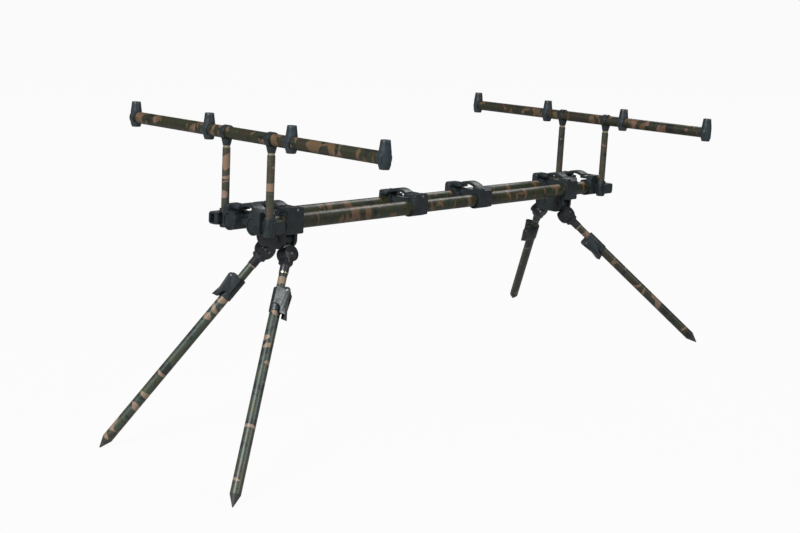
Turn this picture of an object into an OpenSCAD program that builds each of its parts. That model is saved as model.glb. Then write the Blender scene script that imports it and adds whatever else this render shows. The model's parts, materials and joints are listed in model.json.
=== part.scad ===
// Adjustable four-legged rod pod: a telescopic twin-rail frame on four spiked legs
// that carries two height-adjustable cross bars, each with four threaded rod mounts.
// Millimetres. +Z is up, +Y runs along the rails from the front to the rear, X lies
// across them. The origin is on the ground, in the middle of the four spike tips.
// The frame is drawn with its rail axes at z = 0 and then set down on its legs. The
// rear half is the front half turned round, so both are drawn in one half frame whose
// -Y points away from the middle of the pod.

/* [Rails] */
// Distance between the axes of the two rails
rail_pitch = 49.2; // [46:0.2:56]
// Outer diameter of the outer rail tubes
rail_d = 21.6; // [20:0.1:22.4]
// Wall of the outer rail tubes
rail_wall = 1.25; // [0.8:0.05:1.6]
// Wall of the inner rail tubes
inner_wall = 1.25; // [0.8:0.05:2]
// Length of the inner rail tubes
inner_len = 560; // [480:1:600]
// Distance the outer rails run past the plane of the cross bar
rail_past_bar = 9.5; // [8:0.5:14]
// Face thickness of a rail end cap
rail_cap_t = 3; // [2:0.5:5]
// Length of an end cap's plug inside the rail
rail_plug_len = 12; // [6:0.5:20]

/* [Places along the rails] */
// Middle of the pod to the front and to the rear cross bar
bar_reach = 384.5; // [370:0.5:420]
// Middle of the pod to the front head and to the rear head
head_reach = [328.5, 311.5]; // [290:0.5:330]
// Middle of the pod to the front rail clamp and to the rear rail clamp
clamp_reach = [72.5, 81]; // [60:0.5:90]

/* [Cross bars] */
// Height of a cross bar's axis over the rail axes
bar_rise = 118.5; // [100:0.5:160]
// Diameter of a cross bar
bar_d = 17; // [14:0.1:18]
// Wall of a cross bar
bar_wall = 1.5; // [1:0.1:2.5]
// Distance between the two outermost rod mounts of the front bar and of the rear bar
mount_span = [508, 487]; // [400:1:620]
// Number of rod mounts on a bar
mount_count = 4; // [3:1:4]
// Outer diameter of a rod mount's sleeve round the bar
mount_sleeve_d = 20.4; // [19.6:0.1:24]
// Length of a rod mount's sleeve along the bar
mount_sleeve_len = 10; // [8:0.5:16]
// Height of a rod mount's top over the bar's axis
mount_top = 22.8; // [20:0.1:28]
// Diameter of a rod mount's top
mount_top_d = 12.6; // [11.5:0.1:14]
// Diameter of a rod mount's post at the height of the bar
mount_root_d = 16.4; // [15:0.1:19]
// Depth of a rod mount's foot under the bar's axis
mount_foot = 13.7; // [12.5:0.1:16]
// Diameter of a rod mount's foot
mount_foot_d = 12.8; // [10:0.1:14.5]
// Diameter of the tapped hole in a rod mount
thread_d = 8.3; // [8:0.05:9]
// Depth of the tapped hole
thread_depth = 13; // [8:0.5:13.5]
// Distance an end mount's sleeve reaches past its own axis to close the bar
end_cap_past = 3; // [2:0.5:6]

/* [Uprights] */
// Distance between the axes of a bar's two uprights
upright_pitch = 92.4; // [92:0.2:104]
// Outer diameter of an upright
upright_d = 11; // [9:0.1:11.4]
// Wall of an upright
upright_wall = 1; // [0.8:0.1:1.5]
// Distance an upright's foot reaches under the rail axes
upright_foot = 9; // [8:0.5:14]
// Outer diameter of a tee's sleeve round the bar
tee_sleeve_d = 20.6; // [19.6:0.1:24]
// Length of a tee's sleeve along the bar
tee_sleeve_len = 9; // [7:0.5:16]
// Distance from the bar's axis down to the tee's bright ring
tee_neck = 17.6; // [14:0.1:24]
// Diameter of the tee's bright ring
tee_ring_d = 9.6; // [9.2:0.1:10.8]
// Height of the tee's bright ring
tee_ring_h = 3.4; // [2:0.1:6]
// Length of the tee's spigot inside the upright
tee_spigot = 12; // [8:0.5:18]

/* [Blocks on the rails] */
// Wall of the rings that grip the rails
ring_wall = 2.5; // [2:0.1:2.8]
// Length of a rail clamp along the rails
clamp_len = 29; // [28:0.5:32]
// Length of a leg head along the rails
head_len = 30; // [28:0.5:32]
// Length of an end block along the rails
end_len = 28; // [27:0.5:32]
// Distance the end block's centre lies inside the plane of the cross bar
end_shift = 4; // [0:0.5:5]
// Distance a ring stands proud of each end of its block
ring_proud = 0.8; // [0.4:0.1:1.2]
// Width of the slit that lets a ring close on its rail
slit_w = 1.4; // [0.8:0.1:2]
// Depth of a block under the rail axes
block_floor = 10; // [8:0.5:11]
// Height of the lever's ear over the rail axes
ear_top = 21.8; // [21.2:0.1:23]
// Width of the lever's ear across the rails
ear_w = 10.4; // [8:0.1:11]
// Radius of the corners of the lever's ear
ear_round = 5; // [1:0.5:6]
// Height of the low side of a block, under the lever's tab
seat_top = 15.2; // [14.4:0.1:15.2]
// Height of the stop behind the lever's tab
stop_top = 20; // [16:0.5:21]
// Height of the web between the rings of a clamp and of a head
web_top = 12.8; // [8:0.2:13.2]
// Height of the web between the rings of an end block
end_web_top = 3.5; // [0:0.5:8]
// Depth of the web between the rings of an end block under the rail axes
end_web_floor = 4; // [2:0.5:8]
// Thickness of the web between the rings, along the rails
web_t = 12; // [6:0.5:12]
// Hole of the small eyelet under an end block
eyelet_d = 4.5; // [3:0.1:5]
// Thickness of the eyelet
eyelet_t = 3; // [2:0.5:6]
// Distance of the eyelet from the middle of the block, across the rails
eyelet_x = 3; // [0:0.5:6]

/* [Rail levers] */
// Height of the lever's pin over the rail axes
lever_pin_z = 18.2; // [18:0.1:18.6]
// Distance of the lever's pin from the block's centre, towards the middle of the pod
lever_pin_y = 3; // [2:0.1:4]
// Diameter of the lever's pin
lever_pin_d = 4; // [3:0.1:5.4]
// Thickness of the lever's arch
arch_t = 4.5; // [3:0.1:4.8]
// Height of the arch's crown over the rail axes
arch_top = 26.6; // [25.4:0.1:29]
// Width of the arch along the rails, on the tab's side of its pin
arch_w = 16; // [10:0.5:17]
// Distance the finger tab reaches from the pin
tab_reach = 24.5; // [19:0.5:26]
// Width of the finger tab
tab_w = 17; // [10:0.5:19]

/* [Upright sockets] */
// Wall of a socket round its upright
socket_wall = 2; // [1.4:0.1:2.1]
// Height of a socket over the rail axes
socket_top = 13; // [10:0.5:16]
// Depth of a socket under the rail axes
socket_floor = 10; // [9:0.5:12]
// Distance of a socket lever's pin from its upright along the rails
paddle_pin_y = 13; // [13:0.5:15]
// Diameter of a socket lever's pin
paddle_pin_d = 4; // [3:0.1:5]
// Thickness of a socket lever's outer plate
paddle_t = 3; // [2:0.1:4]
// Height of a socket lever
paddle_h = 17; // [15:0.5:19]
// Length of a socket lever along the rails
paddle_len = 25; // [24:0.5:26]
// Thickness of a socket lever's two cheeks
paddle_cheek = 2.6; // [2:0.1:3]

/* [Leg heads] */
// Distance between the two leg pivots of a head
leg_pivot_pitch = 28.6; // [28:0.2:32]
// Distance of the leg pivots under the rail axes
leg_pivot_drop = 25; // [25:0.1:28]
// Radius of the plates round a leg pivot
plate_r = 14; // [12:0.1:14]
// Thickness of a plate
plate_t = 5; // [3:0.1:6]
// Gap between the two plates of a head
plate_gap = 16; // [14:0.1:16]
// Diameter of a leg pivot bolt
leg_bolt_d = 6; // [4:0.1:8]
// Diameter of a leg pivot bolt's head
leg_bolt_head_d = 10; // [9:0.1:13]
// Distance from a leg pivot to the knuckle under it
arm_len = 23.4; // [23.4:0.1:28]
// Radius of an arm's eye round its pivot
arm_eye_r = 11; // [8:0.1:11.2]
// Radius of the knuckle
knuckle_r = 11.5; // [10:0.1:11.5]
// Width of the arm's tongue in the knuckle
tongue_w = 9; // [6:0.1:10]
// Width of each ear of the knuckle
knuckle_ear_w = 5.2; // [4:0.1:6]
// Diameter of the knuckle pin
knuckle_pin_d = 4; // [3:0.1:7]

/* [Legs] */
// Knuckle to spike tip of the front legs and of the rear legs
leg_len = [364, 326]; // [326:0.5:370]
// Sideways splay of the front legs and of the rear legs
leg_splay = [23.1, 39.5]; // [20:0.1:40]
// Lean of the front legs and of the rear legs away from the middle of the pod
leg_lean = [31.5, 31.5]; // [28:0.1:34]
// Outer diameter of the upper leg tube
upper_d = 12; // [10:0.1:12.4]
// Wall of the upper leg tube
upper_wall = 1.2; // [0.8:0.1:1.6]
// Outer diameter of the lower leg tube
lower_d = 15; // [14.8:0.1:15.4]
// Knuckle to the end of its dark sleeve
yoke_len = 29; // [26:0.5:32]
// Outer diameter of the knuckle's dark sleeve
yoke_d = 13.4; // [13:0.1:17.2]
// Length of the bright ring at the end of the dark sleeve
yoke_ring = 2; // [1:0.1:3]
// Knuckle to the top of the leg collar
collar_top = 54; // [54:0.5:70]
// Knuckle to the lower end of the upper leg tube
upper_end = 258; // [200:0.5:258]
// Length of the leg collar
collar_len = 35; // [30:0.5:40]
// Outer diameter of the leg collar
collar_d = 17.8; // [17.6:0.1:18]
// Length of the spike's cone
spike_len = 16; // [12:0.5:20]
// Length of the spike's plug inside the lower leg tube
spike_plug = 12; // [8:0.5:14]
// Radius of the spike's blunt tip
tip_r = 1; // [0.6:0.1:1.5]

/* [Leg levers] */
// Distance of a leg lever's pin from the leg's axis
leg_pin_off = 12; // [11.6:0.1:13]
// Distance of a leg lever's pin under the top of the collar
leg_pin_drop = 4.5; // [4:0.1:6]
// Diameter of a leg lever's pin
leg_pin_d = 3; // [2.5:0.1:4.4]
// Radius of a leg lever round its pin
leg_lever_r = 4.6; // [4:0.1:5]
// Knuckle to the tip of a leg lever
leg_lever_tip = 95; // [90:0.5:100]
// Thickness of a leg lever's cheeks and web
leg_lever_t = 2; // [1.6:0.1:2.6]
// Turn of each leg's collar: front left, front right, rear left and rear right
collar_turn = [120, 315, 315, 310]; // [0:5:355]

/* [Fits] */
// Radial clearance of every sliding or turning fit
running = 0.05; // [0.02:0.01:0.09]
// Gap between the faces of pieces that move past each other
gap = 0.3; // [0.2:0.05:0.4]

/* [Hidden] */
$fn = 48;
FRONT = 0;
REAR = 1;

// The rails and what grips them
rail_x = rail_pitch / 2;
rail_r = rail_d / 2;
rail_bore_r = rail_r - rail_wall;
inner_r = rail_bore_r - running;
inner_mid = (clamp_reach[REAR] - clamp_reach[FRONT]) / 2;
rail_end = bar_reach + rail_past_bar;
ring_r = rail_r + ring_wall;
block_x = rail_x + ring_r;
ear_x = block_x - ear_w;
block_round = 2;
seat_in = 3.7;
seat_x = rail_x - ring_r + seat_in;
tube_stop = 2;

// The rail levers
hub_r = lever_pin_z - ring_r - 1.5 * gap;
hub_in = 2;
hub_x = seat_x - hub_in;
deck_r = lever_pin_z - seat_top - gap;
arch_half = 20;
tab_round = 4;
arch_r = (pow(arch_half, 2) + pow(arch_top - stop_top, 2)) / (2 * (arch_top - stop_top));
arch_back = sqrt(deck_r * gap);

// The cross bars and their uprights
bar_r = bar_d / 2;
upright_x = upright_pitch / 2;
upright_r = upright_d / 2;
upright_top = bar_rise - tee_neck - tee_ring_h;
mount_step = [for (span = mount_span) span / (mount_count - 1)];
mount_belly_z = 8;

// The upright sockets
socket_r = upright_r + running + socket_wall;
socket_web_y = 5;
socket_web_z = 8;
socket_foot = 3;
paddle_x = socket_r + 2 * gap;
paddle_pin_x = 1;
paddle_mid_z = 0.5;
paddle_front = 5.5;
paddle_hub_r = 5.4;
paddle_ear_h = paddle_h - 2 * paddle_cheek - 2 * gap;

// The leg heads and the knuckles
leg_pivot_x = leg_pivot_pitch / 2;
plate_y = plate_gap / 2;
arm_w = plate_gap - 2 * gap;
apron_t = 6;
apron_floor = leg_pivot_drop - 9.5;
plate_root = 2;
knuckle_half = tongue_w / 2 + gap + knuckle_ear_w;
bolt_head_t = 1.2;
yoke_root = 3;

// The legs, measured down from the knuckle
upper_r = upper_d / 2;
lower_r = lower_d / 2;
lower_bore_r = upper_r + running;
collar_r = collar_d / 2;
collar_lip = 3;
leg_pin_z = collar_top + leg_pin_drop;
cheek_x = collar_r + gap;
leg_flare = 2;
leg_notch_r = 7.5;
leg_web_z = leg_pin_z + leg_lever_r + gap;

// Where the spike tips lie under the level rails, and how the pod then stands on them
tip_y = [for (e = [FRONT, REAR]) head_reach[e] + leg_len[e] * sin(leg_lean[e])];
tip_z = [for (e = [FRONT, REAR])
    -leg_pivot_drop - (arm_len + leg_len[e] * cos(leg_lean[e])) * cos(leg_splay[e])];
slope = atan((tip_z[REAR] - tip_z[FRONT]) / (tip_y[FRONT] + tip_y[REAR]));
lift = tip_r - tip_y[FRONT] * sin(slope) - tip_z[FRONT] * cos(slope);
shift = (tip_y[FRONT] - tip_y[REAR]) / 2 * cos(slope)
    - (tip_z[FRONT] + tip_z[REAR]) / 2 * sin(slope);

CAMO = [0.27, 0.28, 0.2];
CHARCOAL = [0.2, 0.22, 0.22];
STEEL = [0.75, 0.75, 0.74];
IRON = [0.3, 0.3, 0.31];

// Sets the level frame down on its four legs
module stand() {
    translate([0, shift, lift]) rotate([-slope, 0, 0]) children();
}

// The half frame of one end of the pod
module half(e) {
    stand() rotate([0, 0, 180 * e]) children();
}

// A flat shape in X and Z, extruded along Y
module along_y(y0, y1) {
    translate([0, y1, 0]) rotate([90, 0, 0]) linear_extrude(y1 - y0) children();
}

// A flat shape in Y and Z, extruded along X
module along_x(x0, x1) {
    translate([x0, 0, 0]) rotate([90, 0, 90]) linear_extrude(x1 - x0) children();
}

// A rod or a bore along Y, or along X
module rod_y(r, y0, y1) {
    along_y(y0, y1) circle(r);
}
module rod_x(r, x0, x1) {
    along_x(x0, x1) circle(r);
}

// A rectangle from one corner to the other, with rounded corners
module panel(x0, y0, x1, y1, r) {
    translate([x0 + r, y0]) square([x1 - x0 - 2 * r, y1 - y0]);
    translate([x0, y0 + r]) square([x1 - x0, y1 - y0 - 2 * r]);
    for (x = [x0 + r, x1 - r], y = [y0 + r, y1 - r]) {
        translate([x, y]) circle(r);
    }
}

// A tube down the leg's axis, between two distances from the knuckle
module leg_tube(r, bore, from, to) {
    translate([0, 0, -to]) difference() {
        cylinder(r = r, h = to - from);
        translate([0, 0, -1]) cylinder(r = bore, h = to - from + 2);
    }
}

// Inner rail tubes, one for each side
module inner_rails() {
    color(CAMO) stand() translate([0, inner_mid, 0]) for (side = [-1, 1]) {
        translate([side * rail_x, 0, 0]) difference() {
            rod_y(inner_r, -inner_len / 2, inner_len / 2);
            rod_y(inner_r - inner_wall, -inner_len / 2 - 1, inner_len / 2 + 1);
        }
    }
}

// Outer rail tubes of one end, from the end cap to the step inside the clamp
module rails(e) {
    y0 = rail_cap_t - rail_end;
    y1 = tube_stop - clamp_reach[e];
    color(CAMO) half(e) for (side = [-1, 1]) translate([side * rail_x, 0, 0]) difference() {
        rod_y(rail_r, y0, y1);
        rod_y(rail_bore_r, y0 - 1, y1 + 1);
    }
}

// End caps of one end's rails: a ringed disc and a plug
module rail_caps(e) {
    groove_w = 0.9;
    groove_depth = 0.6;
    y0 = -rail_end;
    color(CHARCOAL) half(e) for (side = [-1, 1]) translate([side * rail_x, 0, 0]) {
        difference() {
            rod_y(rail_r, y0, y0 + rail_cap_t);
            for (r = [0.3, 0.55, 0.8]) difference() {
                rod_y(r * rail_r + groove_w, y0 - 1, y0 + groove_depth);
                rod_y(r * rail_r, y0 - 2, y0 + groove_depth + 1);
            }
        }
        rod_y(rail_bore_r, y0 + rail_cap_t, y0 + rail_cap_t + rail_plug_len);
    }
}

// The outside of a block that grips both rails, with the ear for its lever at +X
module block_body(len, bridge_floor, bridge_top) {
    y = len / 2;
    stop_y = lever_pin_y + deck_r + gap;
    for (side = [-1, 1]) translate([side * rail_x, 0, 0]) {
        rod_y(ring_r, -y - ring_proud, y + ring_proud);
    }
    along_x(seat_x, block_x) panel(-y, -block_floor, y, ring_r - 1, block_round);
    along_x(ear_x, block_x) panel(-y, -block_floor, y, ear_top, ear_round);
    along_x(-block_x, -seat_x) panel(-y, -block_floor, y, seat_top, block_round);
    along_x(-block_x, -arch_half - 2 * gap) panel(stop_y, -block_floor, y, stop_top, block_round);
    along_y(-web_t + lever_pin_y - 1, lever_pin_y - 1) {
        translate([-seat_x - 1, -bridge_floor]) square([2 * seat_x + 2, bridge_top + bridge_floor]);
    }
}

// What is cut out of such a block: rail bores, slits and the bore of the lever's pin
module block_cuts(len, bore) {
    y = len / 2 + ring_proud + 1;
    for (side = [-1, 1]) translate([side * rail_x, 0, 0]) {
        rod_y(bore, -y, y);
        along_y(-y, y) translate([-slit_w / 2, -ring_r - 1]) square([slit_w, ring_r]);
    }
    translate([0, lever_pin_y, lever_pin_z]) {
        rod_x(lever_pin_d / 2 + running, ear_x - 1, block_x + 1);
    }
}

// Rail clamp: holds the outer rails in its outer half and slides on the inner rails
module rail_clamp(e) {
    color(CHARCOAL) half(e) translate([0, -clamp_reach[e], 0]) difference() {
        block_body(clamp_len, block_floor, web_top);
        block_cuts(clamp_len, rail_bore_r);
        for (side = [-1, 1]) translate([side * rail_x, 0, 0]) {
            rod_y(rail_r, -clamp_len, tube_stop);
        }
    }
}

// Leg head: slides on the outer rails and carries both legs between two plates
module head(e) {
    color(CHARCOAL) half(e) translate([0, -head_reach[e], 0]) difference() {
        union() {
            block_body(head_len, block_floor, web_top);
            for (x0 = [-block_x, block_x - apron_t]) along_x(x0, x0 + apron_t) {
                panel(-head_len / 2, -apron_floor, head_len / 2, 0, block_round);
            }
            for (y = [-plate_y - plate_t, plate_y]) along_y(y, y + plate_t) {
                for (side = [-1, 1]) translate([side * leg_pivot_x, -leg_pivot_drop]) {
                    circle(plate_r);
                }
                translate([-leg_pivot_x, -leg_pivot_drop - plate_r]) {
                    square([leg_pivot_pitch, plate_r]);
                }
                translate([-leg_pivot_x - plate_r, -leg_pivot_drop]) {
                    square([2 * (leg_pivot_x + plate_r), leg_pivot_drop - block_floor + plate_root]);
                }
            }
        }
        block_cuts(head_len, rail_r + running);
        for (side = [-1, 1]) translate([side * leg_pivot_x, 0, -leg_pivot_drop]) {
            rod_y(leg_bolt_d / 2, -head_len, head_len);
        }
    }
}

// Pivot bolts of one head's legs, with a low head and a low nut
module head_bolts(e) {
    y = plate_y + plate_t;
    color(STEEL) half(e) for (side = [-1, 1]) {
        translate([side * leg_pivot_x, -head_reach[e], -leg_pivot_drop]) {
            rod_y(leg_bolt_d / 2, -y, y);
            rod_y(leg_bolt_head_d / 2, -y - bolt_head_t, -y);
            rod_y(leg_bolt_head_d / 2, y, y + bolt_head_t);
        }
    }
}

// Cam lever of a block: an arch over the web, a hub with its pin at +X and a finger tab
module rail_lever() {
    front = lever_pin_y - arch_w;
    deck_z = lever_pin_z - deck_r;
    deck_h = stop_top - deck_z;
    arch_z = arch_top - arch_r;
    along_y(front, lever_pin_y + arch_back) intersection() {
        translate([-arch_half, deck_z]) square([2 * arch_half - 4, arch_top]);
        translate([0, arch_z]) difference() {
            circle(arch_r);
            circle(arch_r - arch_t);
        }
    }
    along_x(-block_x + 1, -arch_half + 3) {
        translate([front, deck_z]) square([arch_w, deck_h]);
        translate([lever_pin_y, lever_pin_z]) circle(min(deck_r, stop_top - lever_pin_z));
    }
    translate([0, 0, deck_z]) linear_extrude(deck_h) {
        panel(-rail_x - tab_w / 2, lever_pin_y - tab_reach, -rail_x + tab_w / 2,
            front + tab_round, tab_round);
    }
    along_x(hub_x, ear_x - gap) {
        translate([front, deck_z]) square([arch_w, deck_h]);
        translate([lever_pin_y, lever_pin_z]) circle(hub_r);
    }
    translate([0, lever_pin_y, lever_pin_z]) {
        rod_x(lever_pin_d / 2, ear_x - 2, block_x + gap);
    }
}

// The same lever on the clamp and on the head, and turned round on the end block
module clamp_lever(e) {
    color(CHARCOAL) half(e) translate([0, -clamp_reach[e], 0]) rail_lever();
}
module head_lever(e) {
    color(CHARCOAL) half(e) translate([0, -head_reach[e], 0]) rail_lever();
}
module end_lever(e) {
    color(CHARCOAL) half(e) translate([0, end_shift - bar_reach, 0]) {
        rotate([0, 0, 180]) rail_lever();
    }
}

// Places its children at one upright of an end, turned to that side
module at_upright(side) {
    translate([0, -bar_reach, 0]) rotate([0, 0, side > 0 ? 0 : 180]) {
        translate([upright_x, 0, 0]) children();
    }
}

// Socket of one upright with the ear for its lever
module socket() {
    translate([0, 0, -socket_floor]) cylinder(r = socket_r, h = socket_top + socket_floor);
    translate([0, 0, paddle_mid_z - paddle_ear_h / 2]) {
        translate([paddle_pin_x, paddle_pin_y, 0]) cylinder(r = paddle_hub_r - 1, h = paddle_ear_h);
        translate([paddle_pin_x - paddle_hub_r + 1, 0, 0]) {
            cube([2 * paddle_hub_r - 2, paddle_pin_y, paddle_ear_h]);
        }
    }
    translate([block_x - upright_x - socket_wall, -socket_web_y, -socket_web_z]) {
        cube([upright_x - block_x + socket_wall, 2 * socket_web_y, 2 * socket_web_z]);
    }
    translate([0, 0, -socket_floor - socket_foot]) {
        cylinder(r1 = socket_r - socket_wall / 2, r2 = socket_r, h = socket_foot);
    }
}

// End block: slides on the outer rails and holds the two uprights
module end_block(e) {
    eyelet_z = -end_web_floor - eyelet_d / 2 - 1;
    eyelet_r = eyelet_d / 2 + 2;
    eyelet_y = end_shift - bar_reach + 1 - lever_pin_y;
    color(CHARCOAL) half(e) difference() {
        union() {
            translate([0, end_shift - bar_reach, 0]) rotate([0, 0, 180]) {
                block_body(end_len, end_web_floor, end_web_top);
            }
            for (side = [-1, 1]) at_upright(side) socket();
            along_y(eyelet_y, eyelet_y + eyelet_t) {
                translate([eyelet_x, eyelet_z]) circle(eyelet_r);
                translate([eyelet_x - eyelet_r, eyelet_z]) {
                    square([2 * eyelet_r, -eyelet_z - end_web_floor + 1]);
                }
            }
        }
        translate([0, end_shift - bar_reach, 0]) rotate([0, 0, 180]) {
            block_cuts(end_len, rail_r + running);
        }
        translate([eyelet_x, 0, eyelet_z]) {
            rod_y(eyelet_d / 2, eyelet_y - 1, eyelet_y + eyelet_t + 1);
        }
        for (side = [-1, 1]) at_upright(side) {
            translate([0, 0, -socket_floor - socket_foot - 1]) {
                cylinder(r = upright_r + running, h = socket_top + socket_floor + socket_foot + 2);
            }
            translate([paddle_pin_x, paddle_pin_y, -paddle_h]) {
                cylinder(r = paddle_pin_d / 2 + running, h = 2 * paddle_h);
            }
        }
    }
}

// Socket lever: an outer plate that wraps the socket, two cheeks and their pin
module socket_lever(e, side) {
    z0 = paddle_mid_z - paddle_h / 2;
    x1 = paddle_x + paddle_t;
    color(CHARCOAL) half(e) at_upright(side) {
        along_x(paddle_x, x1) panel(-paddle_front, z0, paddle_len - paddle_front, z0 + paddle_h, 4);
        for (z = [z0, z0 + paddle_h - paddle_cheek]) translate([0, 0, z]) {
            translate([paddle_pin_x, paddle_pin_y, 0]) cylinder(r = paddle_hub_r, h = paddle_cheek);
            translate([paddle_pin_x, paddle_pin_y - paddle_hub_r, 0]) {
                cube([paddle_x - paddle_pin_x + 1, 2 * paddle_hub_r, paddle_cheek]);
            }
        }
        translate([paddle_pin_x, paddle_pin_y, z0]) cylinder(r = paddle_pin_d / 2, h = paddle_h);
    }
}

// Cross bar tube, from end mount to end mount
module bar(e) {
    half_len = mount_span[e] / 2;
    color(CAMO) half(e) translate([0, -bar_reach, bar_rise]) difference() {
        rod_x(bar_r, -half_len, half_len);
        rod_x(bar_r - bar_wall, -half_len - 1, half_len + 1);
    }
}

// One rod mount: a spindle-shaped post with its tapped hole, and a sleeve round the bar
module rod_mount(outward) {
    l = mount_sleeve_len / 2;
    difference() {
        union() {
            rod_x(mount_sleeve_d / 2, -l, outward ? end_cap_past : l);
            translate([0, 0, mount_belly_z]) {
                cylinder(d1 = mount_root_d, d2 = mount_top_d, h = mount_top - mount_belly_z);
            }
            translate([0, 0, -mount_belly_z]) cylinder(d = mount_root_d, h = 2 * mount_belly_z);
            translate([0, 0, -mount_foot]) {
                cylinder(d1 = mount_foot_d, d2 = mount_root_d, h = mount_foot - mount_belly_z);
            }
        }
        rod_x(bar_r, -mount_sleeve_len, outward ? 0 : mount_sleeve_len);
        translate([0, 0, mount_top - thread_depth]) cylinder(d = thread_d, h = thread_depth + 1);
    }
}

// The rod mounts of one bar; the outermost two also close the bar's ends
module rod_mounts(e) {
    color(CHARCOAL) half(e) translate([0, -bar_reach, bar_rise]) {
        for (i = [0 : mount_count - 1]) {
            translate([i * mount_step[e] - mount_span[e] / 2, 0, 0]) {
                rotate([0, 0, i == 0 ? 180 : 0]) rod_mount(i == 0 || i == mount_count - 1);
            }
        }
    }
}

// Tees that join one bar to its two uprights, with their bright rings
module tees(e) {
    neck_root_r = upright_r + 2;
    neck_tip_r = tee_ring_d / 2 + 0.5;
    color(CHARCOAL) half(e) for (side = [-1, 1]) {
        translate([side * upright_x, -bar_reach, bar_rise]) {
            difference() {
                union() {
                    rod_x(tee_sleeve_d / 2, -tee_sleeve_len / 2, tee_sleeve_len / 2);
                    translate([0, 0, -tee_neck]) {
                        cylinder(r1 = neck_tip_r, r2 = neck_root_r, h = tee_neck - bar_r);
                    }
                }
                rod_x(bar_r, -tee_sleeve_len, tee_sleeve_len);
            }
            translate([0, 0, -tee_neck - tee_ring_h]) cylinder(d = tee_ring_d, h = tee_ring_h);
            translate([0, 0, -tee_neck - tee_ring_h - tee_spigot]) {
                cylinder(r = upright_r - upright_wall, h = tee_spigot);
            }
        }
    }
}

// Uprights of one bar, closed at the foot
module uprights(e) {
    foot_t = 3;
    color(CAMO) half(e) for (side = [-1, 1]) {
        translate([side * upright_x, -bar_reach, -upright_foot]) difference() {
            cylinder(r = upright_r, h = upright_top + upright_foot);
            translate([0, 0, foot_t]) {
                cylinder(r = upright_r - upright_wall, h = upright_top + upright_foot);
            }
        }
    }
}

// The frame of one leg's arm: its pivot is the origin and the knuckle is below it
module arm_frame(e, side) {
    half(e) translate([side * leg_pivot_x, -head_reach[e], -leg_pivot_drop]) {
        rotate([0, -side * leg_splay[e], 0]) children();
    }
}

// The frame of one leg: the knuckle is the origin and the leg runs down -Z
module leg_frame(e, side) {
    arm_frame(e, side) translate([0, 0, -arm_len]) rotate([-leg_lean[e], 0, 0]) children();
}

// Arm of one leg: eye, web and tongue, with the knuckle pin
module arm(e, side) {
    color(CHARCOAL) arm_frame(e, side) {
        difference() {
            union() {
                rod_y(arm_eye_r, -arm_w / 2, arm_w / 2);
                translate([-tongue_w / 2, -arm_w / 2, -arm_len]) cube([tongue_w, arm_w, arm_len]);
                translate([0, 0, -arm_len]) rod_x(knuckle_r, -tongue_w / 2, tongue_w / 2);
            }
            rod_y(leg_bolt_d / 2 + running, -arm_w, arm_w);
        }
        translate([0, 0, -arm_len]) {
            rod_x(knuckle_pin_d / 2, -knuckle_half - gap, knuckle_half + gap);
        }
    }
}

// Knuckle yoke of one leg: two ears and the dark sleeve with its bright ring
module yoke(e, side) {
    crotch = knuckle_r + 2 * gap;
    color(CHARCOAL) leg_frame(e, side) difference() {
        union() {
            rod_x(knuckle_r, -knuckle_half, knuckle_half);
            translate([0, 0, -crotch - yoke_root]) intersection() {
                cylinder(r = knuckle_half + gap, h = crotch + yoke_root);
                translate([-knuckle_half, -yoke_d / 2, 0]) {
                    cube([2 * knuckle_half, yoke_d, crotch + yoke_root]);
                }
            }
            translate([0, 0, -crotch - 2 * yoke_root]) intersection() {
                cylinder(d1 = yoke_d, r2 = knuckle_half, h = yoke_root);
                translate([-knuckle_half, -yoke_d / 2, -1]) {
                    cube([2 * knuckle_half, yoke_d, yoke_root + 2]);
                }
            }
            translate([0, 0, -yoke_len]) cylinder(d = yoke_d, h = yoke_len - crotch);
            translate([0, 0, -yoke_len - yoke_ring]) cylinder(d = yoke_d - gap, h = yoke_ring);
        }
        rod_x(crotch, -tongue_w / 2 - gap, tongue_w / 2 + gap);
        rod_x(knuckle_pin_d / 2 + running, -knuckle_half - 1, knuckle_half + 1);
        translate([0, 0, -yoke_len - yoke_ring - 1]) {
            cylinder(r = upper_r, h = yoke_len + yoke_ring + 1 - crotch - yoke_root);
        }
    }
}

// Upper tube of one leg, from inside the yoke to its free end in the lower tube
module upper_tube(e, side) {
    top = knuckle_r + 2 * gap + yoke_root;
    color(CAMO) leg_frame(e, side) leg_tube(upper_r, upper_r - upper_wall, top, upper_end);
}

// Lower tube of one leg, from the collar's lip to the spike
module lower_tube(e, side) {
    color(CAMO) leg_frame(e, side) {
        leg_tube(lower_r, lower_bore_r, collar_top + collar_lip, leg_len[e] - spike_len);
    }
}

// Collar of one leg: a split sleeve with the ear for its lever
module collar(e, side, turn) {
    slit_len = 27;
    color(CHARCOAL) leg_frame(e, side) rotate([0, 0, turn]) difference() {
        union() {
            leg_tube(collar_r, lower_bore_r, collar_top, collar_top + collar_len);
            translate([0, leg_pin_off, -leg_pin_z]) {
                rod_x(leg_lever_r - gap, -collar_r + 1, collar_r - 1);
            }
            translate([1 - collar_r, 0, -leg_pin_z - leg_lever_r + gap]) {
                cube([2 * collar_r - 2, leg_pin_off, 2 * leg_lever_r - 2 * gap]);
            }
        }
        translate([0, 0, -collar_top - collar_len - 1]) {
            cylinder(r = lower_r, h = collar_len - collar_lip + 1);
        }
        translate([0, 0, -collar_top - collar_lip - 1]) {
            cylinder(r = lower_bore_r, h = collar_lip + 2);
        }
        translate([-slit_w / 2, 0, -collar_top - slit_len]) {
            cube([slit_w, 2 * leg_pin_off, slit_len + 1]);
        }
        translate([0, leg_pin_off, -leg_pin_z]) {
            rod_x(leg_pin_d / 2 + running, -collar_r, collar_r);
        }
    }
}

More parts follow.
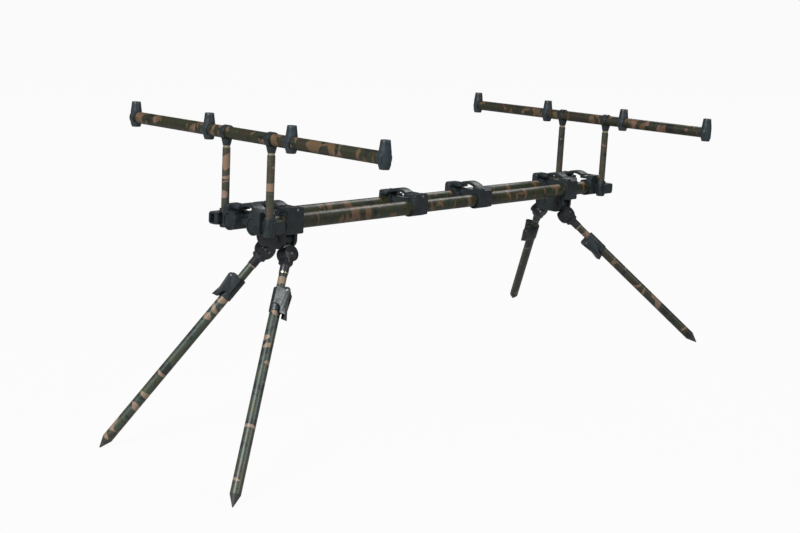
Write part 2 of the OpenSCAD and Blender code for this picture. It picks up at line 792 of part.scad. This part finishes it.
// Lever of one leg's collar: a channel that hugs it, hung on a pin at its top
module leg_lever(e, side, turn) {
    x1 = cheek_x + leg_lever_t;
    web_y = leg_pin_off + 0.5;
    back_y = web_y + leg_lever_t;
    cheek_y = -3;
    tip_y0 = 8;
    knee = -leg_lever_tip + 14;
    notch_z = -leg_lever_tip + 8;
    color(CHARCOAL) leg_frame(e, side) rotate([0, 0, turn]) {
        difference() {
            for (x0 = [-x1, cheek_x]) along_x(x0, x0 + leg_lever_t) {
                translate([leg_pin_off, -leg_pin_z]) circle(leg_lever_r);
                polygon([[leg_pin_off + leg_lever_r, -leg_pin_z],
                    [back_y, knee],
                    [back_y + leg_flare, -leg_lever_tip],
                    [tip_y0, -leg_lever_tip + leg_flare],
                    [tip_y0, notch_z],
                    [cheek_y, notch_z],
                    [cheek_y, -leg_pin_z + leg_lever_r],
                    [leg_pin_off, -leg_pin_z + leg_lever_r]]);
            }
            translate([0, 0, notch_z]) rod_x(leg_notch_r, -x1 - 1, x1 + 1);
        }
        along_x(-x1, x1) polygon([[web_y, -leg_web_z],
            [back_y, -leg_web_z],
            [back_y, knee],
            [back_y + leg_flare, -leg_lever_tip],
            [web_y + leg_flare, -leg_lever_tip],
            [web_y, knee]]);
        translate([0, leg_pin_off, -leg_pin_z]) rod_x(leg_pin_d / 2, -x1 - gap, x1 + gap);
    }
}

// Spike of one leg: plug, cone and blunt tip
module spike(e, side) {
    color(IRON) leg_frame(e, side) translate([0, 0, -leg_len[e]]) {
        sphere(tip_r);
        cylinder(r1 = tip_r, r2 = lower_r, h = spike_len);
        translate([0, 0, spike_len]) cylinder(r = lower_bore_r, h = spike_plug);
    }
}

inner_rails();

rails(FRONT);  // front_rails
rail_caps(FRONT);  // front_rail_caps
rail_clamp(FRONT);  // front_clamp
clamp_lever(FRONT);  // front_clamp_lever
head(FRONT);  // front_head
head_bolts(FRONT);  // front_head_bolts
head_lever(FRONT);  // front_head_lever
end_block(FRONT);  // front_end_block
end_lever(FRONT);  // front_end_lever
socket_lever(FRONT, -1);  // front_left_socket_lever
socket_lever(FRONT, 1);  // front_right_socket_lever
bar(FRONT);  // front_bar
rod_mounts(FRONT);  // front_rod_mounts
tees(FRONT);  // front_tees
uprights(FRONT);  // front_uprights

rails(REAR);  // rear_rails
rail_caps(REAR);  // rear_rail_caps
rail_clamp(REAR);  // rear_clamp
clamp_lever(REAR);  // rear_clamp_lever
head(REAR);  // rear_head
head_bolts(REAR);  // rear_head_bolts
head_lever(REAR);  // rear_head_lever
end_block(REAR);  // rear_end_block
end_lever(REAR);  // rear_end_lever
socket_lever(REAR, 1);  // rear_left_socket_lever
socket_lever(REAR, -1);  // rear_right_socket_lever
bar(REAR);  // rear_bar
rod_mounts(REAR);  // rear_rod_mounts
tees(REAR);  // rear_tees
uprights(REAR);  // rear_uprights

arm(FRONT, -1);  // front_left_arm
yoke(FRONT, -1);  // front_left_yoke
upper_tube(FRONT, -1);  // front_left_upper_tube
lower_tube(FRONT, -1);  // front_left_lower_tube
collar(FRONT, -1, collar_turn[0]);  // front_left_collar
leg_lever(FRONT, -1, collar_turn[0]);  // front_left_leg_lever
spike(FRONT, -1);  // front_left_spike

arm(FRONT, 1);  // front_right_arm
yoke(FRONT, 1);  // front_right_yoke
upper_tube(FRONT, 1);  // front_right_upper_tube
lower_tube(FRONT, 1);  // front_right_lower_tube
collar(FRONT, 1, collar_turn[1]);  // front_right_collar
leg_lever(FRONT, 1, collar_turn[1]);  // front_right_leg_lever
spike(FRONT, 1);  // front_right_spike

arm(REAR, 1);  // rear_left_arm
yoke(REAR, 1);  // rear_left_yoke
upper_tube(REAR, 1);  // rear_left_upper_tube
lower_tube(REAR, 1);  // rear_left_lower_tube
collar(REAR, 1, collar_turn[2]);  // rear_left_collar
leg_lever(REAR, 1, collar_turn[2]);  // rear_left_leg_lever
spike(REAR, 1);  // rear_left_spike

arm(REAR, -1);  // rear_right_arm
yoke(REAR, -1);  // rear_right_yoke
upper_tube(REAR, -1);  // rear_right_upper_tube
lower_tube(REAR, -1);  // rear_right_lower_tube
collar(REAR, -1, collar_turn[3]);  // rear_right_collar
leg_lever(REAR, -1, collar_turn[3]);  // rear_right_leg_lever
spike(REAR, -1);  // rear_right_spike
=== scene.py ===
import json
import math

import bmesh
import bpy
from mathutils import Matrix, Vector


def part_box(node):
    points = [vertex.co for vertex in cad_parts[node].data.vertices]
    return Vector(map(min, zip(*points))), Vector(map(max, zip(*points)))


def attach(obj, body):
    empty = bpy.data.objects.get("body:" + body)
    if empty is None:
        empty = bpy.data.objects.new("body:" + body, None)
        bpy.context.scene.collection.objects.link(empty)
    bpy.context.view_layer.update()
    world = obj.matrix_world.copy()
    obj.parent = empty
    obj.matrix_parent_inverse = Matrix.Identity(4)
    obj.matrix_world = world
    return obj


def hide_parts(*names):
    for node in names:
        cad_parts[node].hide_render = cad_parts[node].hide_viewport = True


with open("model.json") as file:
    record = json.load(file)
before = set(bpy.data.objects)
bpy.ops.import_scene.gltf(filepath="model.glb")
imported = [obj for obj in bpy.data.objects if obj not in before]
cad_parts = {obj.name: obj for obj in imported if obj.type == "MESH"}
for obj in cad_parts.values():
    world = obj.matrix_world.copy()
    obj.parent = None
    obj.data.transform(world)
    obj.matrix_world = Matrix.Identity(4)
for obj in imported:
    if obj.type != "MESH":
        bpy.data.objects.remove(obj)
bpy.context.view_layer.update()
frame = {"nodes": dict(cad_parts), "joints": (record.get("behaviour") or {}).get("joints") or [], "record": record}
print("frame loaded:", len(frame["nodes"]), "CAD nodes")

jointsByName = {joint["name"]: joint for joint in frame["joints"]}
bodyNodes = frame["record"]["behaviour"]["bodies"]
nodeBody = {node: body for body, nodes in bodyNodes.items() for node in nodes}
ends = ["front", "rear"]
legNames = ["front_left", "front_right", "rear_left", "rear_right"]
weldDistance = 0.000002


def jointAxis(name):
    return Vector(jointsByName[name]["axis"]).normalized()


def jointPlace(name):
    return Vector(jointsByName[name]["pos_m"])


# finishes

def startMaterial(name):
    material = bpy.data.materials.new(name)
    material.use_nodes = True
    nodes = material.node_tree.nodes
    nodes.clear()
    output = nodes.new("ShaderNodeOutputMaterial")
    shader = nodes.new("ShaderNodeBsdfPrincipled")
    material.node_tree.links.new(shader.outputs["BSDF"], output.inputs["Surface"])
    return material, shader


def objectMapping(material, direction=None, scale=(1, 1, 1), offset=(0, 0, 0)):
    # Object coordinates, turned so that their X runs along the given direction
    nodes = material.node_tree.nodes
    links = material.node_tree.links
    coordinates = nodes.new("ShaderNodeTexCoord")
    turn = nodes.new("ShaderNodeMapping")
    stretch = nodes.new("ShaderNodeMapping")
    links.new(coordinates.outputs["Object"], turn.inputs["Vector"])
    links.new(turn.outputs["Vector"], stretch.inputs["Vector"])
    if direction is not None:
        along = Vector(direction).normalized()
        turned = along.to_track_quat("X", "Z").to_matrix().inverted()
        turn.inputs["Rotation"].default_value = turned.to_euler("XYZ")
    stretch.inputs["Scale"].default_value = scale
    stretch.inputs["Location"].default_value = offset
    return stretch.outputs["Vector"]


def noise(material, vector, scale, detail=2.0, distortion=0.0):
    node = material.node_tree.nodes.new("ShaderNodeTexNoise")
    node.inputs["Scale"].default_value = scale
    node.inputs["Detail"].default_value = detail
    node.inputs["Distortion"].default_value = distortion
    material.node_tree.links.new(vector, node.inputs["Vector"])
    return node.outputs["Fac"]


def ramp(material, factor, stops):
    node = material.node_tree.nodes.new("ShaderNodeValToRGB")
    elements = node.color_ramp.elements
    while len(elements) < len(stops):
        elements.new(0.5)
    for element, (place, colour) in zip(elements, stops):
        element.position = place
        element.color = (*colour, 1.0)
    material.node_tree.links.new(factor, node.inputs["Fac"])
    return node.outputs["Color"]


def grey(level):
    return (level, level, level)


def mixColours(material, factor, first, second, blend="MIX"):
    # socket 0 is the node's factor, 6 and 7 are its two colours, and output 2 is their mix
    node = material.node_tree.nodes.new("ShaderNodeMix")
    node.data_type = "RGBA"
    node.blend_type = blend
    for value, socket in ((factor, node.inputs[0]), (first, node.inputs[6]), (second, node.inputs[7])):
        if isinstance(value, bpy.types.NodeSocket):
            material.node_tree.links.new(value, socket)
        elif socket.type == "RGBA":
            socket.default_value = (*value, 1.0)
        else:
            socket.default_value = value
    return node.outputs[2]


def bump(material, shader, height, strength, distance):
    node = material.node_tree.nodes.new("ShaderNodeBump")
    node.inputs["Strength"].default_value = strength
    node.inputs["Distance"].default_value = distance
    material.node_tree.links.new(height, node.inputs["Height"])
    material.node_tree.links.new(node.outputs["Normal"], shader.inputs["Normal"])


def toLinear(colour):
    # a screen colour of 0 to 255 as the linear one that a shader takes
    shares = [level / 255 for level in colour]
    return tuple(s / 12.92 if s < 0.04045 else ((s + 0.055) / 1.055) ** 2.4 for s in shares)


camoLook = {
    "patchLength": 0.026, "patchWidth": 0.034, "patchCurl": 1.0,
    "greenFrom": 0.385, "oliveFrom": 0.485, "brownFrom": 0.585, "patchEdge": 0.012,
    "bandCurl": 1.15, "bandEdge": 0.014, "bandOffset": 5.3,
    "tanTo": 0.52, "pinkFrom": 0.60, "tanSize": 60,
    "streakLevel": 0.40, "streakWidth": 0.004, "streakShare": 0.5,
    "grimeAlong": 60, "grimeAcross": 160, "grimeShade": 0.84,
    "coatRough": 0.28, "bump": 0.05, "bumpDepth": 0.0001,
}
railCamo = {
    "black": (17, 21, 13), "green": (38, 49, 30), "olive": (46, 49, 22), "brown": (41, 34, 21),
    "tan": (103, 78, 53), "pink": (108, 82, 62), "streak": (92, 88, 66),
    "bandLength": 0.020, "bandWidth": 0.042, "bandCut": 0.584,
    "lowRough": 0.40, "highRough": 0.52, "coat": 0.05,
}
barCamo = {
    "black": (22, 24, 16), "green": (38, 43, 26), "olive": (43, 42, 24), "brown": (47, 39, 26),
    "tan": (95, 75, 51), "pink": (118, 90, 78), "streak": (98, 90, 68),
    "bandLength": 0.019, "bandWidth": 0.032, "bandCut": 0.582,
    "lowRough": 0.44, "highRough": 0.56, "coat": 0.03,
}
uprightCamo = {
    "black": (44, 46, 41), "green": (62, 67, 56), "olive": (68, 66, 52), "brown": (76, 66, 55),
    "tan": (140, 115, 94), "pink": (146, 122, 110), "streak": (150, 142, 124),
    "bandLength": 0.019, "bandWidth": 0.034, "bandCut": 0.585,
    "lowRough": 0.34, "highRough": 0.46, "coat": 0.12,
}
# the four legs share one camouflage in two copies: the front legs' palette is lighter, as painted light, and the
# rear legs' palette is darker, as painted shade on the rear half
litFrontLegCamo = {
    "black": (36, 45, 42), "green": (55, 70, 61), "olive": (66, 73, 54), "brown": (58, 56, 50),
    "tan": (142, 121, 99), "pink": (150, 127, 111), "streak": (128, 126, 108),
    "bandLength": 0.023, "bandWidth": 0.055, "bandCut": 0.602,
    "lowRough": 0.37, "highRough": 0.46, "coat": 0.15,
}
shadedRearLegCamo = {
    "black": (27, 30, 25), "green": (43, 50, 38), "olive": (52, 52, 35), "brown": (53, 46, 36),
    "tan": (118, 97, 77), "pink": (124, 101, 87), "streak": (112, 106, 86),
    "bandLength": 0.023, "bandWidth": 0.055, "bandCut": 0.604,
    "lowRough": 0.38, "highRough": 0.48, "coat": 0.1,
}
spikeCamo = {
    "black": (48, 51, 51), "green": (56, 60, 58), "olive": (62, 63, 58), "brown": (64, 61, 57),
    "tan": (88, 80, 70), "pink": (88, 80, 74), "streak": (98, 96, 88),
    "bandLength": 0.019, "bandWidth": 0.036, "bandCut": 0.600,
    "lowRough": 0.36, "highRough": 0.48, "coat": 0.1,
}
legCamoLitAndShaded = {"front": litFrontLegCamo, "rear": shadedRearLegCamo}

# how far the pattern is moved along, so that no two pieces show the same patches
patternShift = {"rail": 3.4, "bar": 4.1, "upright": 2.9, "firstLeg": 1.3, "legStep": 2.1}


def makeCamo(name, palette, direction, shift):
    # printed camouflage: dark patches, tan bands across the tube and a few pale streaks
    look = camoLook
    material, shader = startMaterial(name)
    paints = {key: toLinear(value) for key, value in palette.items() if isinstance(value, tuple)}
    offset = (shift, shift * 0.37, shift * 0.71)

    def stretched(length, width, extra=0.0):
        moved = tuple(extra + step for step in offset)
        return objectMapping(material, direction, (1 / length, 1 / width, 1 / width), moved)

    patches = noise(material, stretched(look["patchLength"], look["patchWidth"]),
                    1.0, 2.0, look["patchCurl"])
    ground = ramp(material, patches, [
        (look["greenFrom"], paints["black"]), (look["greenFrom"] + look["patchEdge"], paints["green"]),
        (look["oliveFrom"], paints["green"]), (look["oliveFrom"] + look["patchEdge"], paints["olive"]),
        (look["brownFrom"], paints["olive"]), (look["brownFrom"] + look["patchEdge"], paints["brown"])])

    size = look["tanSize"]
    tone = noise(material, objectMapping(material, direction, (size, size, size), offset), 1.0, 3.0)
    toneMask = ramp(material, tone, [(look["tanTo"], grey(0)), (look["pinkFrom"], grey(1))])
    tan = mixColours(material, toneMask, paints["tan"], paints["pink"])
    bands = noise(material, stretched(palette["bandLength"], palette["bandWidth"], look["bandOffset"]),
                  1.0, 1.0, look["bandCurl"])
    cut = palette["bandCut"]
    bandMask = ramp(material, bands, [(cut, grey(0)), (cut + look["bandEdge"], grey(1))])
    colour = mixColours(material, bandMask, ground, tan)

    level = look["streakLevel"]
    width = look["streakWidth"]
    streakMask = ramp(material, bands, [
        (level - width, grey(0)), (level, grey(look["streakShare"])), (level + width, grey(0))])
    colour = mixColours(material, streakMask, colour, paints["streak"])

    grimeScale = (look["grimeAlong"], look["grimeAcross"], look["grimeAcross"])
    grime = noise(material, objectMapping(material, direction, grimeScale, offset), 1.0, 3.0)
    shade = ramp(material, grime, [(0.3, grey(look["grimeShade"])), (0.7, grey(1))])
    colour = mixColours(material, 1.0, colour, shade, "MULTIPLY")
    rough = ramp(material, grime, [(0.3, grey(palette["lowRough"])), (0.7, grey(palette["highRough"]))])
    links = material.node_tree.links
    links.new(colour, shader.inputs["Base Color"])
    links.new(rough, shader.inputs["Roughness"])
    shader.inputs["Coat Weight"].default_value = palette["coat"]
    shader.inputs["Coat Roughness"].default_value = look["coatRough"]
    bump(material, shader, grime, look["bump"], look["bumpDepth"])
    return material


fittingLook = {"colour": (24, 31, 34), "worn": (40, 49, 53), "lowRough": 0.38, "highRough": 0.52}
mountLook = {"colour": (30, 40, 45), "worn": (48, 60, 66), "lowRough": 0.34, "highRough": 0.48}
sleeveLook = {"colour": (28, 30, 35), "worn": (42, 45, 50), "lowRough": 0.34, "highRough": 0.46}
boltLook = {"colour": (30, 33, 35), "worn": (46, 49, 51), "lowRough": 0.32, "highRough": 0.44}
mouldedGrain = {"cloud": 70, "wear": 240, "grain": 1400, "bump": 0.2, "bumpDepth": 0.00015}


def makeFitting(name, look):
    # moulded or blackened stuff, with a cloudy tint and a fine grain
    material, shader = startMaterial(name)
    plain = objectMapping(material)
    cloud = noise(material, plain, mouldedGrain["cloud"], 4.0)
    tint = ramp(material, cloud, [(0.3, toLinear(look["colour"])), (0.75, toLinear(look["worn"]))])
    wear = noise(material, plain, mouldedGrain["wear"], 3.0)
    rough = ramp(material, wear, [(0.3, grey(look["lowRough"])), (0.7, grey(look["highRough"]))])
    material.node_tree.links.new(tint, shader.inputs["Base Color"])
    material.node_tree.links.new(rough, shader.inputs["Roughness"])
    grain = noise(material, plain, mouldedGrain["grain"], 2.0)
    bump(material, shader, grain, mouldedGrain["bump"], mouldedGrain["bumpDepth"])
    return material


ringLook = {"colour": (206, 196, 168), "scratched": (168, 158, 132), "roughness": 0.34}
pinLook = {"colour": (176, 180, 182), "scratched": (130, 134, 136), "roughness": 0.30}
metalGrain = {"cloud": 300, "polish": 900, "smoothest": 0.8, "roughest": 1.25,
              "bump": 0.1, "bumpDepth": 0.0001}


def makeMetal(name, look):
    material, shader = startMaterial(name)
    plain = objectMapping(material)
    cloud = noise(material, plain, metalGrain["cloud"], 4.0)
    tint = ramp(material, cloud, [(0.25, toLinear(look["scratched"])), (0.7, toLinear(look["colour"]))])
    polish = noise(material, plain, metalGrain["polish"], 2.0)
    rough = ramp(material, polish, [(0.3, grey(look["roughness"] * metalGrain["smoothest"])),
                                    (0.7, grey(look["roughness"] * metalGrain["roughest"]))])
    material.node_tree.links.new(tint, shader.inputs["Base Color"])
    material.node_tree.links.new(rough, shader.inputs["Roughness"])
    shader.inputs["Metallic"].default_value = 1.0
    bump(material, shader, cloud, metalGrain["bump"], metalGrain["bumpDepth"])
    return material


fitting = makeFitting("charcoalFitting", fittingLook)
mountRubber = makeFitting("mountRubber", mountLook)
sleeve = makeFitting("darkSleeve", sleeveLook)
boltSteel = makeFitting("boltSteel", boltLook)
ringMetal = makeMetal("creamRing", ringLook)
pinSteel = makeMetal("pinSteel", pinLook)
camoRail = makeCamo("camoRail", railCamo, jointAxis("front_rail_extension"), patternShift["rail"])
camoBar = makeCamo("camoBar", barCamo, (1, 0, 0), patternShift["bar"])
camoUpright = makeCamo("camoUpright", uprightCamo, jointAxis("front_bar_height"),
                       patternShift["upright"])
print("materials made")


# pieces

def paint(thing, *materials):
    thing.data.materials.clear()
    for material in materials:
        thing.data.materials.append(material)


roundedEdges = {
    "segments": 2, "angle": 32, "flatAngle": 0.6, "smoothAngle": 28,
    "block": 0.001, "cap": 0.0003, "bolt": 0.0004, "mount": 0.0008, "tee": 0.0005,
    "lever": 0.0007, "socketLever": 0.0006, "arm": 0.0006, "yoke": 0.0005,
    "collar": 0.0005, "legLever": 0.0005, "spike": 0.0003,
}


def roundedCopy(node, kind, materials, pick=None):
    # the CAD node's own shape, with its corners rounded
    look = roundedEdges
    bm = bmesh.new()
    bm.from_mesh(frame["nodes"][node].data)
    bmesh.ops.remove_doubles(bm, verts=bm.verts, dist=weldDistance)
    bmesh.ops.dissolve_limit(bm, angle_limit=math.radians(look["flatAngle"]),
                             verts=bm.verts, edges=bm.edges)
    mesh = bpy.data.meshes.new(node + "_dressed")
    bm.to_mesh(mesh)
    bm.free()
    piece = bpy.data.objects.new(node + "_dressed", mesh)
    bpy.context.scene.collection.objects.link(piece)
    bevel = piece.modifiers.new("roundedEdges", "BEVEL")
    bevel.width = look[kind]
    bevel.segments = look["segments"]
    bevel.limit_method = "ANGLE"
    bevel.angle_limit = math.radians(look["angle"])
    bevel.use_clamp_overlap = True
    graph = bpy.context.evaluated_depsgraph_get()
    finished = bpy.data.meshes.new_from_object(piece.evaluated_get(graph))
    piece.modifiers.clear()
    piece.data = finished
    finished.shade_smooth()
    finished.set_sharp_from_angle(angle=math.radians(look["smoothAngle"]))
    paint(piece, *materials)
    if pick:
        for face in finished.polygons:
            face.material_index = pick(face)
    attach(piece, nodeBody[node])
    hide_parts(node)
    return piece


# the bright second material of a piece: its pin's end faces, or the ring on its tube's side
pinReach = {"lever": 0.00205, "socket": 0.00205, "knuckle": 0.00205, "leg": 0.00155}
ringStart = {"tee": 0.0175, "yoke": 0.0290}


def nearAxis(joint, radius):
    axis = jointAxis(joint)
    place = jointPlace(joint)

    def pick(face):
        offset = face.center - place
        away = (offset - axis * offset.dot(axis)).length
        return 1 if away < radius else 0
    return pick


def pastPoint(place, direction, distance):
    def pick(face):
        return 1 if (face.center - place).dot(direction) > distance else 0
    return pick


threadLook = {
    "turns": 9, "pitch": 0.00127, "start": 0.0006, "gap": 0.00003,
    "wall": 0.0001, "depth": 0.00035, "segments": 28,
}


def threadLinings(end):
    # the threads that show in the mouths of the rod mounts, as a ringed lining of each bore
    look = threadLook
    bm = bmesh.new()
    for mount in frame["record"]["mounts"]:
        if mount["kind"] != "threaded_hole" or not mount["name"].startswith(end):
            continue
        bore = mount["dims"]["r_mm"] / 1000 - look["gap"]
        root = bore - look["wall"]
        up = Vector(mount["axis"]).normalized()
        place = Matrix.Translation(mount["pos_m"]) @ up.to_track_quat("Z", "Y").to_matrix().to_4x4()
        bottom = -look["start"] - look["turns"] * look["pitch"]
        outline = [(bore, -look["start"]), (bore, bottom), (root, bottom)]
        for turn in range(look["turns"]):
            height = bottom + turn * look["pitch"]
            outline.append((root - look["depth"], height + look["pitch"] / 2))
            outline.append((root, height + look["pitch"]))
        points = [bm.verts.new(place @ Vector((radius, 0, height))) for radius, height in outline]
        edges = [bm.edges.new((points[i - 1], points[i])) for i in range(len(points))]
        bmesh.ops.spin(bm, geom=points + edges, cent=place.translation, axis=up, use_merge=True,
                       angle=math.tau, steps=look["segments"])
    bmesh.ops.remove_doubles(bm, verts=bm.verts, dist=weldDistance)
    bmesh.ops.recalc_face_normals(bm, faces=bm.faces)
    mesh = bpy.data.meshes.new(end + "_mount_threads")
    bm.to_mesh(mesh)
    bm.free()
    piece = bpy.data.objects.new(end + "_mount_threads", mesh)
    bpy.context.scene.collection.objects.link(piece)
    paint(piece, boltSteel)
    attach(piece, nodeBody[end + "_rod_mounts"])


def dressEnd(end):
    paint(frame["nodes"][end + "_rails"], camoRail)
    paint(frame["nodes"][end + "_bar"], camoBar)
    paint(frame["nodes"][end + "_uprights"], camoUpright)
    for block in ("_clamp", "_head", "_end_block"):
        roundedCopy(end + block, "block", [fitting])
    roundedCopy(end + "_rail_caps", "cap", [fitting])
    roundedCopy(end + "_head_bolts", "bolt", [boltSteel])
    roundedCopy(end + "_rod_mounts", "mount", [mountRubber])
    for lever in (end + "_clamp_lever", end + "_head_lever", end + "_end_lever"):
        roundedCopy(lever, "lever", [fitting, pinSteel], nearAxis(lever + "_turn", pinReach["lever"]))
    for lever in (end + "_left_socket_lever", end + "_right_socket_lever"):
        pick = nearAxis(lever + "_turn", pinReach["socket"])
        roundedCopy(lever, "socketLever", [fitting, pinSteel], pick)
    threadLinings(end)
    low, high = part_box(end + "_bar")
    pick = pastPoint((low + high) / 2, -jointAxis(end + "_bar_height"), ringStart["tee"])
    roundedCopy(end + "_tees", "tee", [fitting, ringMetal], pick)


def dressLeg(leg, shift):
    along = -jointAxis(leg + "_leg_extension")
    # front legs take the lighter palette with painted light, rear legs the darker palette with painted shade
    camoLeg = makeCamo("camo_" + leg, legCamoLitAndShaded[leg.split("_")[0]], along, shift)
    camoSpike = makeCamo("camoSpike_" + leg, spikeCamo, along, shift)
    paint(frame["nodes"][leg + "_upper_tube"], camoLeg)
    paint(frame["nodes"][leg + "_lower_tube"], camoLeg)
    pick = nearAxis(leg + "_fold", pinReach["knuckle"])
    roundedCopy(leg + "_arm", "arm", [fitting, pinSteel], pick)
    pick = pastPoint(jointPlace(leg + "_fold"), along, ringStart["yoke"])
    roundedCopy(leg + "_yoke", "yoke", [sleeve, ringMetal], pick)
    roundedCopy(leg + "_collar", "collar", [fitting])
    pick = nearAxis(leg + "_leg_lever_turn", pinReach["leg"])
    roundedCopy(leg + "_leg_lever", "legLever", [fitting, pinSteel], pick)
    roundedCopy(leg + "_spike", "spike", [camoSpike])


paint(frame["nodes"]["inner_rails"], camoRail)
for end in ends:
    dressEnd(end)
print("blocks, bars and levers dressed")
for index, leg in enumerate(legNames):
    dressLeg(leg, patternShift["firstLeg"] + patternShift["legStep"] * index)
print("legs dressed")


# floor, light and camera

studio = {
    "floorSize": 60.0, "floorWhite": 0.42, "whiteShare": 0.95,
    "worldStrength": 0.15, "worldColour": (1.0, 1.0, 1.0),
}


def makeFloor():
    # a matte floor that the camera sees almost as pure white
    bm = bmesh.new()
    bmesh.ops.create_grid(bm, x_segments=1, y_segments=1, size=studio["floorSize"] / 2)
    mesh = bpy.data.meshes.new("floor")
    bm.to_mesh(mesh)
    bm.free()
    floor = bpy.data.objects.new("floor", mesh)
    bpy.context.scene.collection.objects.link(floor)
    material = bpy.data.materials.new("studioFloor")
    material.use_nodes = True
    nodes = material.node_tree.nodes
    links = material.node_tree.links
    nodes.clear()
    output = nodes.new("ShaderNodeOutputMaterial")
    matte = nodes.new("ShaderNodeBsdfDiffuse")
    matte.inputs["Color"].default_value = (*grey(studio["floorWhite"]), 1.0)
    white = nodes.new("ShaderNodeEmission")
    white.inputs["Strength"].default_value = 1.0
    path = nodes.new("ShaderNodeLightPath")
    share = nodes.new("ShaderNodeMath")
    share.operation = "MULTIPLY"
    share.inputs[1].default_value = studio["whiteShare"]
    blend = nodes.new("ShaderNodeMixShader")
    links.new(path.outputs["Is Camera Ray"], share.inputs[0])
    links.new(share.outputs[0], blend.inputs["Fac"])
    links.new(matte.outputs[0], blend.inputs[1])
    links.new(white.outputs[0], blend.inputs[2])
    links.new(blend.outputs[0], output.inputs["Surface"])
    floor.data.materials.append(material)


def makeWorld():
    # soft light from all round, with a pure white for the camera
    world = bpy.data.worlds.new("studioWorld")
    bpy.context.scene.world = world
    world.use_nodes = True
    nodes = world.node_tree.nodes
    links = world.node_tree.links
    nodes.clear()
    output = nodes.new("ShaderNodeOutputWorld")
    soft = nodes.new("ShaderNodeBackground")
    soft.inputs["Color"].default_value = (*studio["worldColour"], 1.0)
    soft.inputs["Strength"].default_value = studio["worldStrength"]
    white = nodes.new("ShaderNodeBackground")
    white.inputs["Color"].default_value = (1.0, 1.0, 1.0, 1.0)
    white.inputs["Strength"].default_value = 1.0
    path = nodes.new("ShaderNodeLightPath")
    blend = nodes.new("ShaderNodeMixShader")
    links.new(path.outputs["Is Camera Ray"], blend.inputs["Fac"])
    links.new(soft.outputs[0], blend.inputs[1])
    links.new(white.outputs[0], blend.inputs[2])
    links.new(blend.outputs[0], output.inputs["Surface"])


lamps = {
    "keyLamp": {"place": (0.4, -2.6, 2.5), "target": (0, -0.2, 0.25), "size": 1.3, "power": 118},
    "rightLamp": {"place": (2.6, 0.6, 1.9), "target": (0, 0, 0.3), "size": 1.2, "power": 26},
    "backLamp": {"place": (-0.8, 2.4, 2.2), "target": (0, 0, 0.3), "size": 1.0, "power": 26},
}


def makeLamp(name, look):
    lamp = bpy.data.lights.new(name, "AREA")
    lamp.energy = look["power"]
    lamp.size = look["size"]
    thing = bpy.data.objects.new(name, lamp)
    bpy.context.scene.collection.objects.link(thing)
    thing.location = look["place"]
    towards = Vector(look["target"]) - Vector(look["place"])
    thing.rotation_euler = towards.to_track_quat("-Z", "Y").to_euler()


view = {
    "place": (1.3912, -1.5110, 0.7287), "turn": -43.374, "down": 14.612,
    "lens": 61.007, "sensor": 36.0, "rise": 0.00175, "reach": 100.0,
}


def makeCamera():
    camera = bpy.data.cameras.new("photoCamera")
    camera.sensor_width = view["sensor"]
    camera.lens = view["lens"]
    camera.shift_y = view["rise"]
    camera.clip_end = view["reach"]
    thing = bpy.data.objects.new("photoCamera", camera)
    bpy.context.scene.collection.objects.link(thing)
    turn = math.radians(view["turn"])
    down = math.radians(view["down"])
    forward = Vector((math.sin(turn) * math.cos(down), math.cos(turn) * math.cos(down), -math.sin(down)))
    thing.location = view["place"]
    thing.rotation_euler = forward.to_track_quat("-Z", "Y").to_euler()
    bpy.context.scene.camera = thing


makeFloor()
makeWorld()
for name, look in lamps.items():
    makeLamp(name, look)
makeCamera()
bpy.context.scene.view_settings.view_transform = "Standard"
print("studio ready")
